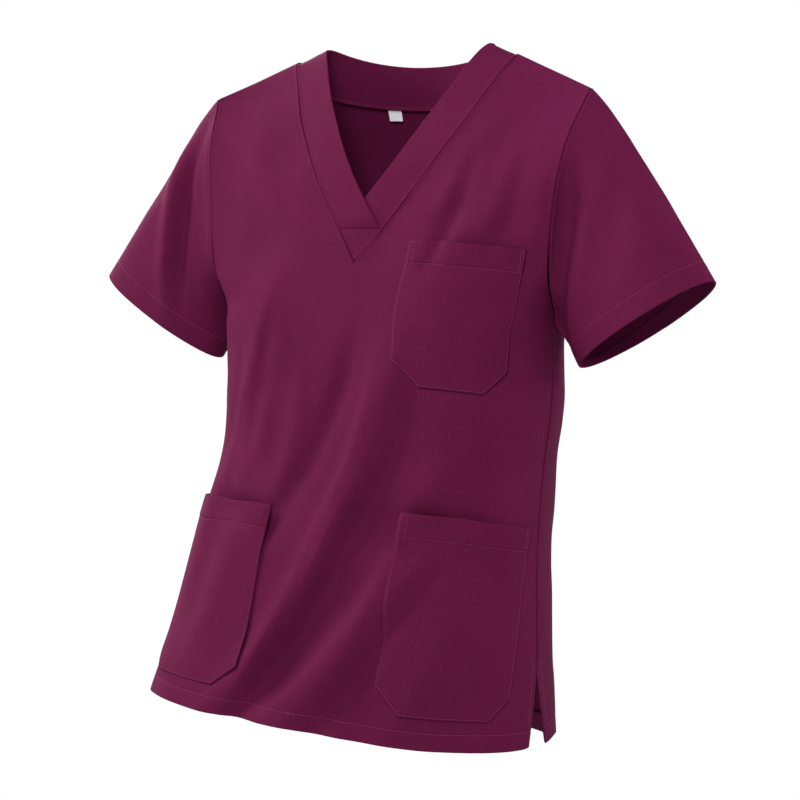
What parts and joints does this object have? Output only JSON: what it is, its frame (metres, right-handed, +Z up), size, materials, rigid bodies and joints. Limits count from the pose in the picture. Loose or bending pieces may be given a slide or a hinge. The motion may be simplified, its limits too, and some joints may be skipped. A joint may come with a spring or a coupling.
{
  "type": "scrub top",
  "caption": "Short-sleeved V-neck medical scrub top, filled out as worn, with a chest pocket, lower patch pockets, side vents and an overlapped neckband.",
  "frame": {"origin": "on the midline, at the height where the neckband meets the shoulders, where the wearer's shoulders hold the top up", "axes": "+X to the wearer's left, -Y to the wearer's front, +Z up"},
  "size_m": [0.693, 0.2575, 0.6801],
  "materials": {
    "scrub_cloth": "matt burgundy twill",
    "label_cloth": "matt white woven tape"
  },
  "bodies": {
    "root": {"front_panel": "scrub_cloth", "back_panel": "scrub_cloth", "sleeve_left": "scrub_cloth", "sleeve_right": "scrub_cloth", "neckband_right": "scrub_cloth", "neckband_left": "scrub_cloth", "neckband_back": "scrub_cloth", "pocket_chest": "scrub_cloth", "pocket_left": "scrub_cloth", "pocket_right": "scrub_cloth", "size_label": "label_cloth"}
  },
  "joints": []
}
